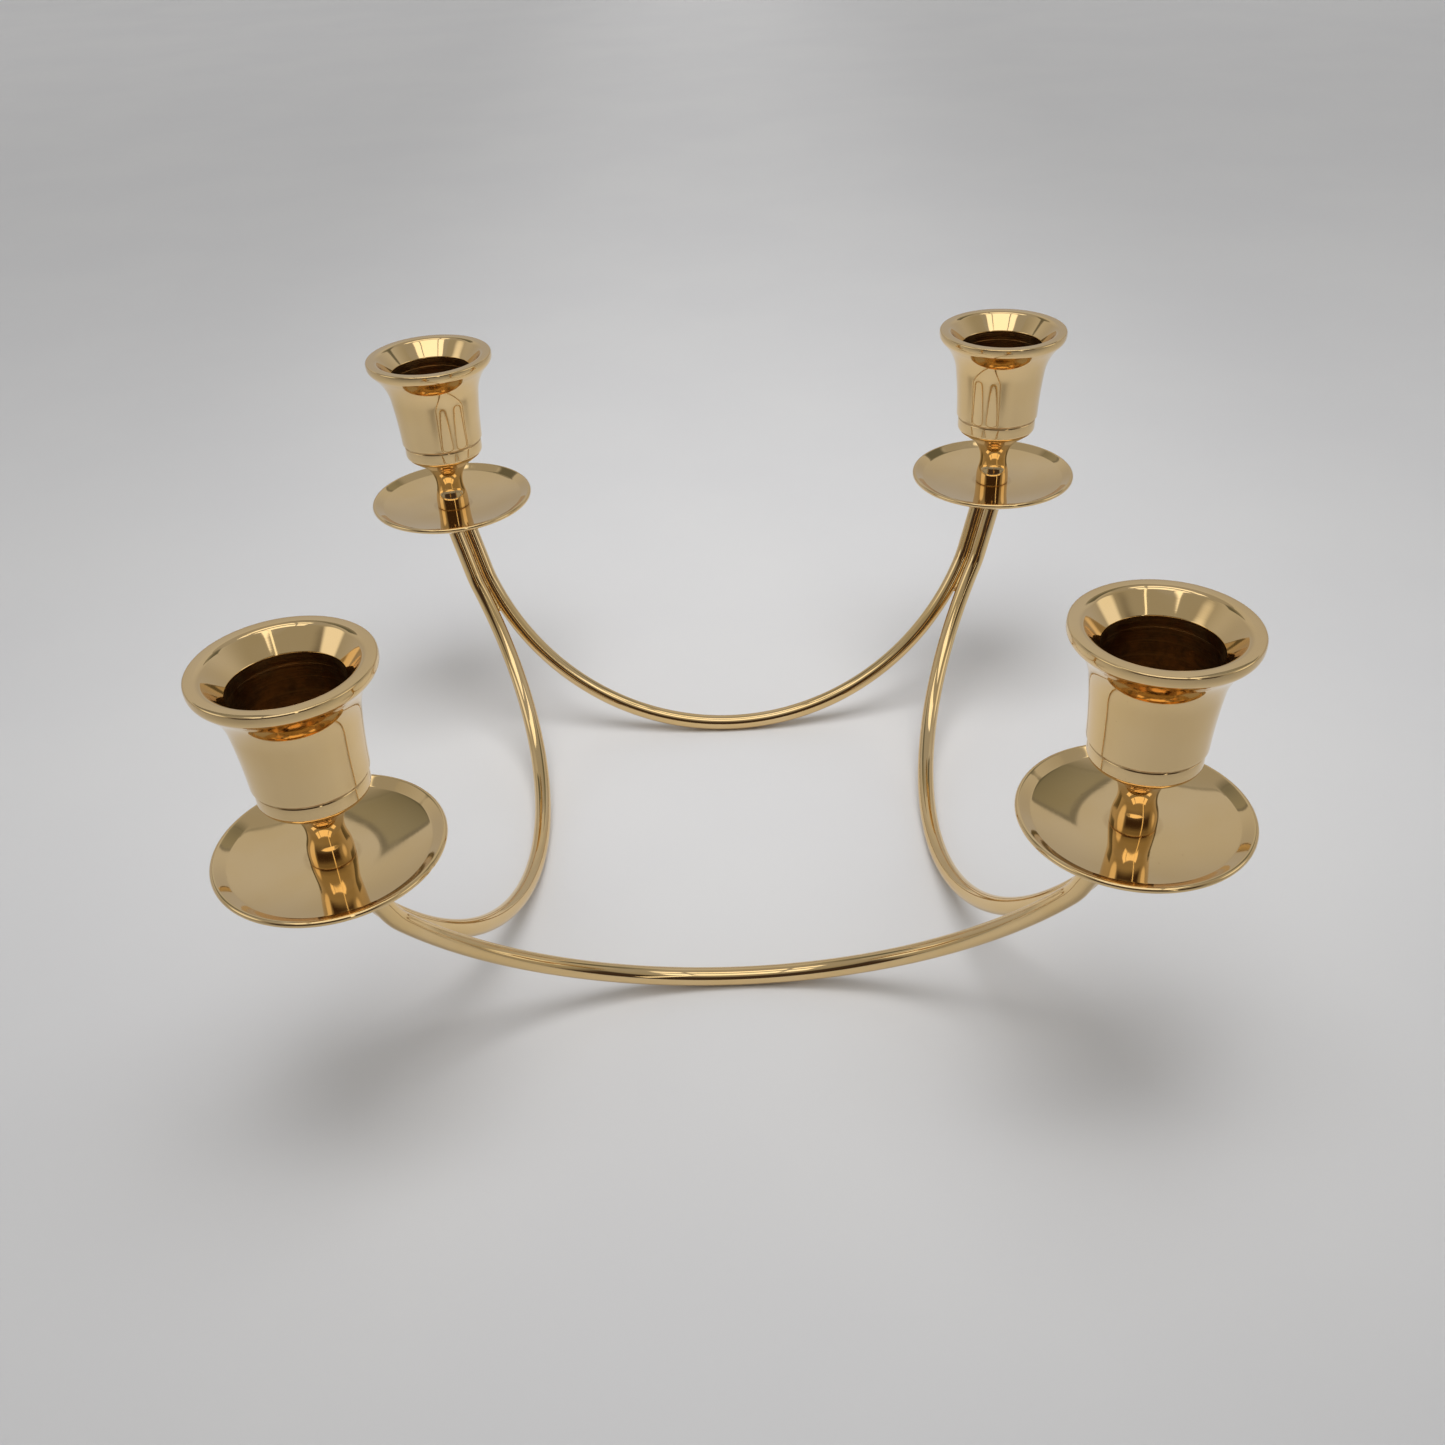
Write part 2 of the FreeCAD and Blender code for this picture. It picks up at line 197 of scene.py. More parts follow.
def capped_tube(rings):
    """Vertices and faces of a closed tube over equal rings of points."""
    vertices = [v for ring in rings for v in ring]
    count = len(rings[0])
    numbers = [list(range(k * count, (k + 1) * count)) for k in range(len(rings))]
    faces = []
    for first, second in zip(numbers, numbers[1:]):
        faces += band(first, second)
    for ring in (numbers[0], numbers[-1]):
        middle = len(vertices)
        vertices.append(sum((vertices[k] for k in ring), Vector()) / count)
        faces += [(ring[k], ring[(k + 1) % count], middle) for k in range(count)]
    return vertices, faces


def near(value, target, width):
    """1 at the target, falling to 0 over about the width."""
    return math.exp(-((value - target) / width) ** 2)


def foot(node):
    """The middle of the underside of a CAD node's box, in metres."""
    low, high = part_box(node)
    return Vector(((low.x + high.x) / 2, (low.y + high.y) / 2, low.z))


# Materials


class Nodes:
    """A short way to build a node tree."""

    def __init__(self, tree):
        self.tree = tree
        tree.nodes.clear()

    def add(self, kind, settings=None, **inputs):
        """Add a node. Inputs are numbers, colours or other nodes' sockets."""
        node = self.tree.nodes.new(kind)
        for name, value in (settings or {}).items():
            setattr(node, name, value)
        for name, value in inputs.items():
            key = int(name[1:]) if name[0] == "i" and name[1:].isdigit() else name.replace("_", " ")
            self.put(node.inputs[key], value)
        return node

    def put(self, socket, value):
        """Link or set a socket."""
        if isinstance(value, bpy.types.NodeSocket):
            self.tree.links.new(value, socket)
        else:
            socket.default_value = value

    def math(self, operation, first, second=0.0, clamp=False):
        """The output of a math node."""
        return self.add("ShaderNodeMath", {"operation": operation, "use_clamp": clamp},
                        i0=first, i1=second).outputs[0]

    def ramp(self, value, low, high, to_low=0.0, to_high=1.0, smooth=True):
        """A value moved from one range to another, held at the ends."""
        kind = "SMOOTHSTEP" if smooth else "LINEAR"
        return self.add("ShaderNodeMapRange", {"interpolation_type": kind}, Value=value,
                        From_Min=low, From_Max=high, To_Min=to_low, To_Max=to_high).outputs[0]

    def fall(self, value, low, high):
        """1 below a range and 0 above it."""
        return self.ramp(value, low, high, 1.0, 0.0)

    def product(self, *factors):
        """The product of values."""
        result = factors[0]
        for factor in factors[1:]:
            result = self.math("MULTIPLY", result, factor)
        return result

    def mix(self, factor, first, second):
        """A mix of two colours."""
        node = self.add("ShaderNodeMix", {"data_type": "RGBA"})
        self.put(node.inputs[0], factor)
        self.put(node.inputs[6], first)
        self.put(node.inputs[7], second)
        return node.outputs[2]

    def noise(self, where, scale, detail=2.0, roughness=0.5):
        """A noise texture's value."""
        return self.add("ShaderNodeTexNoise", Vector=where, Scale=scale, Detail=detail,
                        Roughness=roughness).outputs[0]

    def moved(self, where, scale=(1, 1, 1), turn=(0, 0, 0), offset=(0, 0, 0)):
        """Coordinates turned and scaled."""
        return self.add("ShaderNodeMapping", Vector=where, Scale=scale, Rotation=turn,
                        Location=offset).outputs[0]


def new_material(name):
    """A material with a Principled shader. Returns the material, its nodes and the shader."""
    material = bpy.data.materials.new(name)
    material.use_nodes = True
    nodes = Nodes(material.node_tree)
    shader = nodes.add("ShaderNodeBsdfPrincipled")
    output = nodes.add("ShaderNodeOutputMaterial")
    material.node_tree.links.new(shader.outputs[0], output.inputs[0])
    shader.inputs["Metallic"].default_value = 1.0
    return material, nodes, shader


def scratches(nodes, where, scale, stretch, turn, low, high):
    """Sparse hairline scratches in one direction: 1 on a scratch."""
    along = nodes.moved(where, (1.0, stretch, stretch), turn)
    lines = nodes.noise(along, scale, 3.0, 0.6)
    patches = nodes.noise(where, scale * 0.35, 1.0)
    return nodes.math("MULTIPLY", nodes.ramp(lines, low, high), nodes.ramp(patches, 0.42, 0.62))


def around_axis(nodes, where):
    """Coordinates that are the same all round the upright axis: radius and height."""
    split = nodes.add("ShaderNodeSeparateXYZ", Vector=where)
    across = nodes.math("ADD", nodes.math("POWER", split.outputs[0], 2.0),
                        nodes.math("POWER", split.outputs[1], 2.0))
    radius = nodes.math("SQRT", across)
    return nodes.add("ShaderNodeCombineXYZ", X=radius, Y=split.outputs[2]).outputs[0]


BRASS = (0.79, 0.58, 0.305, 1)
BRASS_WARM = (0.77, 0.55, 0.265, 1)
# dark brown for specks of tarnish, and for tarnish with painted shade in the hollows and at the joints
TARNISH_AND_SHADE = (0.36, 0.20, 0.075, 1)
OXIDE = (0.43, 0.26, 0.12, 1)
OXIDE_DARK = (0.21, 0.12, 0.05, 1)
BORING_RING = (0.55, 0.36, 0.16, 1)
BOSS_BRASS = (0.70, 0.49, 0.21, 1)
BOSS_STAIN = (0.50, 0.32, 0.12, 1)
BRAZE_METAL = (0.76, 0.54, 0.24, 1)
BRAZE_SCALE = (0.52, 0.30, 0.13, 1)
BRAZE_PIT = (0.16, 0.085, 0.035, 1)


def make_polished_brass(name, turned):
    """Polished brass: faint tone changes, smudges, specks, hairlines, tarnish and painted shade in the
    hollows and at the joints.
    turned pieces have fine polishing lines round their axis, bars a fine grain drawn out upright."""
    material, nodes, shader = new_material(name)
    where = nodes.add("ShaderNodeTexCoord").outputs["Object"]
    tarnish_and_shade = nodes.add("ShaderNodeAttribute", {"attribute_name": "tarnish_and_shade"}).outputs["Fac"]
    tone = nodes.ramp(nodes.noise(where, 55.0, 3.0), 0.35, 0.68)
    smudge = nodes.ramp(nodes.noise(where, 130.0, 4.0, 0.6), 0.48, 0.72)
    specks = nodes.ramp(nodes.noise(where, 1500.0, 1.0), 0.80, 0.83)
    uneven = nodes.ramp(nodes.noise(where, 420.0, 3.0), 0.3, 0.62, 0.35, 1.0)
    # tarnish with painted shade: darker, rougher brass in the hollows, at the joints and under the lip, from
    # the mesh's mark
    uneven_tarnish_and_shade = nodes.math("MULTIPLY", tarnish_and_shade, uneven)
    colour = nodes.mix(tone, BRASS, BRASS_WARM)
    colour = nodes.mix(nodes.math("MULTIPLY", specks, 0.45), colour, TARNISH_AND_SHADE)
    colour = nodes.mix(uneven_tarnish_and_shade, colour, TARNISH_AND_SHADE)
    nodes.put(shader.inputs["Base Color"], colour)

    hair_a = scratches(nodes, where, 90.0, 24.0, (0.3, 0.9, 0.5), 0.70, 0.73)
    hair_b = scratches(nodes, where, 80.0, 26.0, (1.2, 0.2, -0.8), 0.70, 0.73)
    hairs = nodes.math("MAXIMUM", hair_a, hair_b)
    rough = nodes.math("MULTIPLY_ADD", smudge, 0.035)
    rough.node.inputs[2].default_value = 0.05
    rough = nodes.math("ADD", rough, nodes.math("MULTIPLY", hairs, 0.07))
    rough = nodes.math("ADD", rough, nodes.math("MULTIPLY", uneven_tarnish_and_shade, 0.10))
    nodes.put(shader.inputs["Roughness"], rough)

    if turned:
        lines = nodes.noise(around_axis(nodes, where), 1500.0, 2.0)
    else:
        lines = nodes.noise(nodes.moved(where, (1.0, 1.0, 0.3)), 900.0, 2.0)
    swell = nodes.noise(where, 110.0, 1.0)
    height = nodes.math("ADD", nodes.math("MULTIPLY", lines, 0.10), nodes.math("MULTIPLY", swell, 0.4))
    height = nodes.math("SUBTRACT", height, nodes.math("MULTIPLY", hairs, 0.06))
    bump = nodes.add("ShaderNodeBump", Strength=0.25, Distance=0.00006, Height=height)
    nodes.put(shader.inputs["Normal"], bump.outputs[0])
    return material


def make_bore_brass():
    """The unpolished inside of a candle bore: brown oxide over fine boring rings."""
    material, nodes, shader = new_material("bored_brass")
    where = nodes.add("ShaderNodeTexCoord").outputs["Object"]
    blotch = nodes.ramp(nodes.noise(where, 260.0, 4.0, 0.6), 0.35, 0.68)
    rings = nodes.noise(nodes.moved(where, (0.02, 0.02, 1.0)), 2600.0, 2.0)
    colour = nodes.mix(blotch, OXIDE, OXIDE_DARK)
    colour = nodes.mix(nodes.ramp(rings, 0.45, 0.75, 0.0, 0.5), colour, BORING_RING)
    nodes.put(shader.inputs["Base Color"], colour)
    nodes.put(shader.inputs["Roughness"], nodes.ramp(blotch, 0.0, 1.0, 0.28, 0.46))
    bump = nodes.add("ShaderNodeBump", Strength=0.5, Distance=0.00006, Height=rings)
    nodes.put(shader.inputs["Normal"], bump.outputs[0])
    return material


def make_turned_brass():
    """Turned, unpolished brass of the bosses and studs."""
    material, nodes, shader = new_material("turned_brass")
    where = nodes.add("ShaderNodeTexCoord").outputs["Object"]
    rings = nodes.noise(around_axis(nodes, where), 3800.0, 2.0)
    blotch = nodes.ramp(nodes.noise(where, 500.0, 3.0), 0.35, 0.7)
    nodes.put(shader.inputs["Base Color"], nodes.mix(blotch, BOSS_BRASS, BOSS_STAIN))
    nodes.put(shader.inputs["Roughness"], nodes.ramp(rings, 0.3, 0.7, 0.16, 0.32))
    bump = nodes.add("ShaderNodeBump", Strength=0.5, Distance=0.00005, Height=rings)
    nodes.put(shader.inputs["Normal"], bump.outputs[0])
    return material


def make_braze():
    """Brazing metal, half polished, with pits, scale and a duller colour."""
    material, nodes, shader = new_material("braze_filler")
    where = nodes.add("ShaderNodeTexCoord").outputs["Object"]
    cells = nodes.add("ShaderNodeTexVoronoi", Vector=where, Scale=1500.0).outputs[0]
    pits = nodes.ramp(cells, 0.12, 0.38)
    lumps = nodes.noise(where, 900.0, 4.0, 0.6)
    scale = nodes.ramp(nodes.noise(where, 330.0, 3.0), 0.42, 0.66)
    colour = nodes.mix(scale, BRAZE_METAL, BRAZE_SCALE)
    colour = nodes.mix(nodes.ramp(pits, 0.0, 1.0, 0.35, 0.0), colour, BRAZE_PIT)
    nodes.put(shader.inputs["Base Color"], colour)
    nodes.put(shader.inputs["Roughness"], nodes.ramp(scale, 0.0, 1.0, 0.09, 0.24))
    height = nodes.math("ADD", nodes.math("MULTIPLY", lumps, 0.7), nodes.math("MULTIPLY", pits, 0.6))
    bump = nodes.add("ShaderNodeBump", Strength=0.3, Distance=0.00008, Height=height)
    nodes.put(shader.inputs["Normal"], bump.outputs[0])
    return material


brass_turned = make_polished_brass("polished_brass_turned", True)
brass_bar = make_polished_brass("polished_brass_bar", False)
brass_bore = make_bore_brass()
brass_boss = make_turned_brass()
braze = make_braze()


# Candle cups. Radii from the cup's axis, heights from its foot.

COVE = Vector((11.35, 20.4))
COVE_RADIUS = 0.55
BAND_RADIUS = 10.95
BODY_RADIUS = 11.40
FOOT_RADIUS = 4.65
TAPPED_RADIUS = 2.05
TAPPED_DEPTH = 12.5
LIP_RADIUS = 17.45
CUP_HEIGHT = 45.45
BORE_RADIUS = 11.0
BORE_TOP = 40.95
BORE_END = 25.95
BORE_FLOOR = 21.95
BORE_STEPS = 132
COVE_STEPS = 14
GROOVE_DEPTH = 0.05
GROOVE_BELOW_TOP = 2.3
BORE_SKIN = 0.12
CUP_EDGE = 0.22


def cove_height(radius):
    """How far above or below the cove's centre its surface meets this radius."""
    return math.sqrt(COVE_RADIUS ** 2 - (COVE.x - radius) ** 2)


def cup_outside():
    """The neck, body and lip, from the stud's hole to the top of the bore."""
    low = COVE.y - cove_height(BAND_RADIUS)
    high = COVE.y + cove_height(BODY_RADIUS)
    start = trace((
        (0, TAPPED_DEPTH, "line"), (TAPPED_RADIUS, TAPPED_DEPTH, "line"), (TAPPED_RADIUS, 0, "line"),
        (FOOT_RADIUS, 0, "line"), (FOOT_RADIUS, 1.2, "line"), (4.17, 4.55, "arc"), (7.3, 14, "arc"),
        (10.23, 16.2, "line"), (BAND_RADIUS, 17.64, "arc"), (BAND_RADIUS, low, "line"),
    ))
    first = math.atan2(low - COVE.y, BAND_RADIUS - COVE.x) % math.tau
    last = math.atan2(high - COVE.y, BODY_RADIUS - COVE.x) % math.tau
    cove = []
    for k in range(1, COVE_STEPS):
        angle = first + (last - first) * k / COVE_STEPS
        cove.append(COVE + Vector((math.cos(angle), math.sin(angle))) * COVE_RADIUS)
    rest = trace((
        (BODY_RADIUS, high, "line"), (11.45, 22.5, "line"), (12.35, 34, "arc"), (15.55, 41.3, "arc"),
        (16.85, 42.75, "line"), (LIP_RADIUS, 44.3, "arc"), (17.4, 45.05, "arc"), (17, CUP_HEIGHT, "arc"),
        (15.5, CUP_HEIGHT, "line"), (14.2, 44.85, "arc"), (11.1, 41.2, "line"),
        (BORE_RADIUS, BORE_TOP, "arc"),
    ))
    return start + cove + rest


def cup_bore():
    """The bore with its boring rings, down to the axis."""
    wall = []
    for k in range(1, BORE_STEPS):
        depth = (BORE_TOP - BORE_END) * k / BORE_STEPS
        ripple = 0.022 * abs(math.sin(depth * 4.9)) ** 1.5 + 0.010 * math.sin(depth * 13.7 + 1.3)
        groove = GROOVE_DEPTH * near(depth, GROOVE_BELOW_TOP, 0.10)
        wall.append(Vector((BORE_RADIUS + groove + max(0.0, ripple), BORE_TOP - depth)))
    bottom = trace(((BORE_RADIUS, BORE_END + 0.1, "line"), (BORE_RADIUS, BORE_END, "line"),
                    (7, BORE_FLOOR, "arc"), (0, BORE_FLOOR, "line")))
    return wall + divide(bottom[1:], 0.5)


def cup_tarnish_and_shade(r, z):
    """Tarnish that polishing leaves, with painted shade where hollows and joints lie in shadow: in the cove,
    at the foot, atop the neck, under the lip.
    """
    outside = r > BORE_RADIUS + 0.05 or z < BORE_FLOOR
    if not outside:
        return 0.0
    amount = 0.8 * near(z, COVE.y, 0.30) * (r < 11.2)
    amount += 0.5 * near(z, 0, 0.35)
    amount += 0.12 * near(z, 15.6, 0.8) + 0.15 * near(z, 42.2, 0.5) * (r > 14)
    return min(1.0, amount)


def make_cup(corner):
    """One candle cup."""
    node = "candle_cup_" + corner
    profile = soften(divide(cup_outside(), 1.2), CUP_EDGE) + cup_bore()
    mesh = lathe("cup_" + corner, profile, {"tarnish_and_shade": cup_tarnish_and_shade})
    piece = new_piece("cup_" + corner, mesh, [brass_turned, brass_bore], node, foot(node))
    for face in mesh.polygons:
        middle = face.center / MM
        reach = math.hypot(middle.x, middle.y)
        if BORE_FLOOR - 0.2 < middle.z < BORE_TOP + 0.02 and reach < BORE_RADIUS + BORE_SKIN:
            face.material_index = 1
    return piece


# Drip pans. Radii from the axis, heights from the underside.

PAN_HOLE = 2.2
PAN_FLAT = 6.0
PAN_SHEET = 1.3
DISH_RADIUS = 61.75
DISH_SLOPE = math.radians(13.1)
RIM_BEND = 1.5
RIM_SLOPE = math.radians(30)
RIM_WIDTH = 2.2
RIM_START = 21.5
RIM_EDGE = 23.3
NICK_DEPTH = 0.15
NICK_WIDTH = 0.35
NICK_RISE = 4


def pan_profile():
    """The closed section of a pan."""
    dish = Vector((PAN_FLAT + DISH_RADIUS * math.sin(DISH_SLOPE),
                   PAN_SHEET + DISH_RADIUS * (1 - math.cos(DISH_SLOPE))))
    bend = dish + Vector((RIM_BEND * (math.sin(RIM_SLOPE) - math.sin(DISH_SLOPE)),
                          RIM_BEND * (math.cos(DISH_SLOPE) - math.cos(RIM_SLOPE))))
    edge = bend + Vector((math.cos(RIM_SLOPE), math.sin(RIM_SLOPE))) * RIM_WIDTH
    through = Vector((math.sin(RIM_SLOPE), -math.cos(RIM_SLOPE))) * PAN_SHEET
    under_dish = dish + Vector((math.sin(DISH_SLOPE), -math.cos(DISH_SLOPE))) * PAN_SHEET
    points = trace((
        (PAN_HOLE, PAN_SHEET, "line"), (PAN_FLAT, PAN_SHEET, "line"), (*dish, "arc"), (*bend, "arc"),
        (*edge, "line"), (*(edge + through), "arc"), (*(bend + through), "line"),
        (*under_dish, "arc"), (PAN_FLAT, 0, "arc"), (PAN_HOLE, 0, "line"),
    ))
    return divide(points, 0.9)


def pan_tarnish_and_shade(r, z):
    """Tarnish with painted shade round the foot of the cup and under the pan."""
    above = z > PAN_SHEET - 0.01
    return 0.6 * near(r, 4.9, 0.35) * above + 0.10 * (not above)


def make_pan(corner, nick=None):
    """One drip pan. nick is the direction of a small dent in its rim."""
    node = "drip_pan_" + corner

    def dented(vertex):
        if nick is None or math.hypot(vertex.x, vertex.y) < RIM_START:
            return vertex
        out = Vector((math.cos(nick), math.sin(nick), 0)) * RIM_EDGE
        depth = NICK_DEPTH * near((vertex.xy - out.xy).length, 0, NICK_WIDTH)
        return vertex - Vector((out.x, out.y, NICK_RISE)).normalized() * depth

    mesh = lathe("pan_" + corner, pan_profile(), {"tarnish_and_shade": pan_tarnish_and_shade}, segments=216, loop=True, shape=dented)
    return new_piece("pan_" + corner, mesh, [brass_turned], node, foot(node))


# Mounting studs: a round boss with the stud that holds pan and cup.

BOSS_RADIUS = 5.5
BOSS_HEIGHT = 2.5
BOSS_CHAMFER = 0.4
STUD_RADIUS = 2
STUD_TOP = 14
STUD_CHAMFER = 0.5


def make_stud(corner):
    """One boss and stud."""
    node = "mounting_stud_" + corner
    profile = trace((
        (0, 0, "line"), (BOSS_RADIUS - BOSS_CHAMFER, 0, "line"), (BOSS_RADIUS, BOSS_CHAMFER, "line"),
        (BOSS_RADIUS, BOSS_HEIGHT, "line"), (STUD_RADIUS, BOSS_HEIGHT, "line"),
        (STUD_RADIUS, STUD_TOP - STUD_CHAMFER, "line"), (STUD_RADIUS - STUD_CHAMFER, STUD_TOP, "line"),
        (0, STUD_TOP, "line"),
    ))
    mesh = lathe("stud_" + corner, soften(divide(profile, 0.8), 0.15), {}, segments=96)
    return new_piece("stud_" + corner, mesh, [brass_boss], node, foot(node))


# Rods. The front rod is the pattern for all four: a wide arc in a plane that leans out, and
# at each end an upper bend and a straight leg, cut level under the boss.

ROD_RADIUS = 2.25
PAIR_OFFSET = 2.35
ARC_RADIUS = 78
ARC_TILT = math.radians(26.5)
ARC_HALF_ANGLE = math.atan(1 / math.sin(ARC_TILT))
BEND_RADIUS = 21
BEND_START = math.atan(math.sqrt(2) * math.tan(ARC_TILT))
LEG_LEAN = math.radians(22.9)
LEG_TOP = 63.7
OUT = Vector((1, -1, 0)).normalized()
ARC_STEPS = 90
BEND_STEPS = 8
LEG_STEPS = 24
ROD_SEGMENTS = 40
ROD_RIPPLE = 0.008

arc_up = Vector((0, -math.sin(ARC_TILT), math.cos(ARC_TILT)))
reach = ARC_RADIUS * math.sin(ARC_HALF_ANGLE)
rise = ARC_RADIUS * (1 - math.cos(ARC_HALF_ANGLE))
inset = reach + math.sqrt(2) * PAIR_OFFSET - rise * math.sin(ARC_TILT)
arc_centre = Vector((0, -inset, ROD_RADIUS)) + arc_up * ARC_RADIUS


def half_centre_line():
    """Points of the front rod's centre line, from the middle of its arc to its right end."""
    points = []
    for k in range(ARC_STEPS + 1):
        angle = ARC_HALF_ANGLE * k / ARC_STEPS
        spoke = Vector((math.sin(angle), 0, 0)) - arc_up * math.cos(angle)
        points.append(arc_centre + spoke * ARC_RADIUS)
    facing = OUT * math.cos(BEND_START) - UP * math.sin(BEND_START)
    centre = points[-1] - facing * BEND_RADIUS
    for k in range(1, BEND_STEPS + 1):
        lean = BEND_START + (LEG_LEAN - BEND_START) * k / BEND_STEPS
        points.append(centre + (OUT * math.cos(lean) - UP * math.sin(lean)) * BEND_RADIUS)
    along = OUT * math.sin(LEG_LEAN) + UP * math.cos(LEG_LEAN)
    length = (LEG_TOP - points[-1].z) / along.z
    start = points[-1]
    points += [start + along * (length * k / LEG_STEPS) for k in range(1, LEG_STEPS + 1)]
    return points


right_half = half_centre_line()
centre_line = [Vector((-p.x, p.y, p.z)) for p in reversed(right_half[1:])] + right_half


def headings(points):
    """The direction of a line at each of its points."""
    result = []
    for k in range(len(points)):
        before = points[max(0, k - 1)]
        after = points[min(len(points) - 1, k + 1)]
        result.append((after - before).normalized())
    return result


def make_rod(side, angle):
    """One bent rod."""
    turn = Matrix.Rotation(math.radians(angle), 3, "Z")
    line = [turn @ p for p in centre_line]
    rings = []
    across = None
    for k, (point, along) in enumerate(zip(line, headings(line))):
        if across is None:
            across = along.orthogonal().normalized()
        across = (across - along * across.dot(along)).normalized()
        other = along.cross(across)
        ring = []
        for j in range(ROD_SEGMENTS):
            turned = math.tau * j / ROD_SEGMENTS
            out = across * math.cos(turned) + other * math.sin(turned)
            place = point + out * ROD_RADIUS
            ripple = (noise.noise(place * 0.09) - 1) * ROD_RIPPLE
            place = place + out * ripple
            if place.z > LEG_TOP or k in (0, len(line) - 1):
                place = place + along * ((LEG_TOP - place.z) / along.z)
            ring.append(place)
        rings.append(ring)
    vertices, faces = capped_tube(rings)
    # tarnish with painted shade where the legs meet the bosses
    tarnish_and_shade = [0.25 * near(v.z, LEG_TOP, 1.6) for v in vertices]
    mesh = mesh_from("rod_piece_" + side, vertices, faces, {"tarnish_and_shade": tarnish_and_shade})
    return new_piece("rod_piece_" + side, mesh, [brass_bar], "rod_" + side)


# Brazing: filler metal between the two legs of a corner, thinning out where the rods part,
# and a fillet round both legs under the boss.

CROTCH_STEPS = 9
WEB_HEIGHT = 1.05
WEB_HOLLOW = 0.30
WEB_OVERLAP = 0.25
WEB_POINTS = 9
COLLAR_STEPS = 7
COLLAR_SEGMENTS = 72
COLLAR_DROP = 1.9
COLLAR_REACH = 0.85
COLLAR_SINK = 0.08
COLLAR_LIMIT = 5.45
COLLAR_WAIST = 1.5


def braze_line():
    """The right end of the front rod, from under the boss down to the crotch."""
    return list(reversed(right_half[ARC_STEPS - CROTCH_STEPS:]))


def braze_web_rings():
    """Rings of the filler between the rods of the front right corner."""
    line = braze_line()
    rings = []
    for k, (point, along) in enumerate(zip(line, headings(line))):
        twin = Vector((-point.y, -point.x, point.z))
        middle = (point + twin) / 2
        half = (twin - point).length / 2
        across = (twin - point).normalized()
        forward = (along - across * along.dot(across)).normalized()
        square = forward.cross(across)
        left = (len(line) - 1 - k) / CROTCH_STEPS
        height = WEB_HEIGHT * min(1.0, 0.45 + 0.55 * left ** 0.6)
        edge = half - math.sqrt(ROD_RADIUS ** 2 - height ** 2) + WEB_OVERLAP
        ring = []
        for way in (1, -1):
            for j in range(WEB_POINTS):
                t = (-1 + 2 * j / (WEB_POINTS - 1)) * way
                depth = height * (1 - WEB_HOLLOW * (1 - t * t))
                place = middle + across * (edge * t) + square * (depth * way)
                lumps = noise.noise(place * 0.9) * 0.08 + noise.noise(place * 2.6) * 0.04
                rough = lumps * (1.3 - min(1.0, left))
                ring.append(place + square * (way * rough))
        rings.append(ring)
    return rings


def braze_collar_rings():
    """Rings of the fillet round the two legs, under the boss."""
    top = (right_half[-1] + Vector((-right_half[-1].y, -right_half[-1].x, LEG_TOP))) / 2
    top.z = LEG_TOP
    across = Vector((1, 1, 0)).normalized()
    rings = []
    for k in range(COLLAR_STEPS + 1):
        t = k / COLLAR_STEPS
        drop = COLLAR_DROP * (1 - t)
        grow = COLLAR_REACH * t ** 2.2 - COLLAR_SINK
        centre = top - UP * drop - OUT * (drop * math.tan(LEG_LEAN))
        ring = []
        for j in range(COLLAR_SEGMENTS):
            angle = math.tau * j / COLLAR_SEGMENTS
            beside = abs(math.cos(angle))
            ahead = abs(math.sin(angle))
            rod = ROD_RADIUS + grow
            under = max(rod ** 2 - (PAIR_OFFSET * ahead) ** 2, 0.0)
            waist = (COLLAR_WAIST + grow) / max(ahead, 0.3)
            radius = min(max(PAIR_OFFSET * beside + math.sqrt(under), waist), COLLAR_LIMIT)
            outward = radius * math.sin(angle) / math.cos(LEG_LEAN)
            place = centre + across * (radius * math.cos(angle)) + OUT * outward
            rough = 1 + 0.012 * noise.noise(place * 1.1) * t
            ring.append(centre + (place - centre) * rough)
        rings.append(ring)
    return rings


def make_braze_piece(corner, angle):
    """The brazing of one corner."""
    turn = Matrix.Rotation(math.radians(angle), 3, "Z")
    vertices, faces = capped_tube(braze_web_rings())
    more_vertices, more_faces = capped_tube(braze_collar_rings())
    shift = len(vertices)
    faces = faces + [tuple(k + shift for k in face) for face in more_faces]
    vertices = [turn @ v for v in vertices + more_vertices]
    mesh = mesh_from("braze_" + corner, vertices, faces)
    return new_piece("braze_" + corner, mesh, [braze], "braze_web_" + corner)


NICKS = {"front_left": math.radians(-20)}

for corner, angle in CORNERS:
    make_cup(corner)
    make_pan(corner, NICKS.get(corner))
    make_stud(corner)
    make_braze_piece(corner, angle)
for side, angle in SIDES:
    make_rod(side, angle)


# Floor, light and camera


FLOOR_HALF = 6.0
PAPER = (0.82, 0.825, 0.845, 1)
PAPER_PALE = (0.84, 0.845, 0.86, 1)


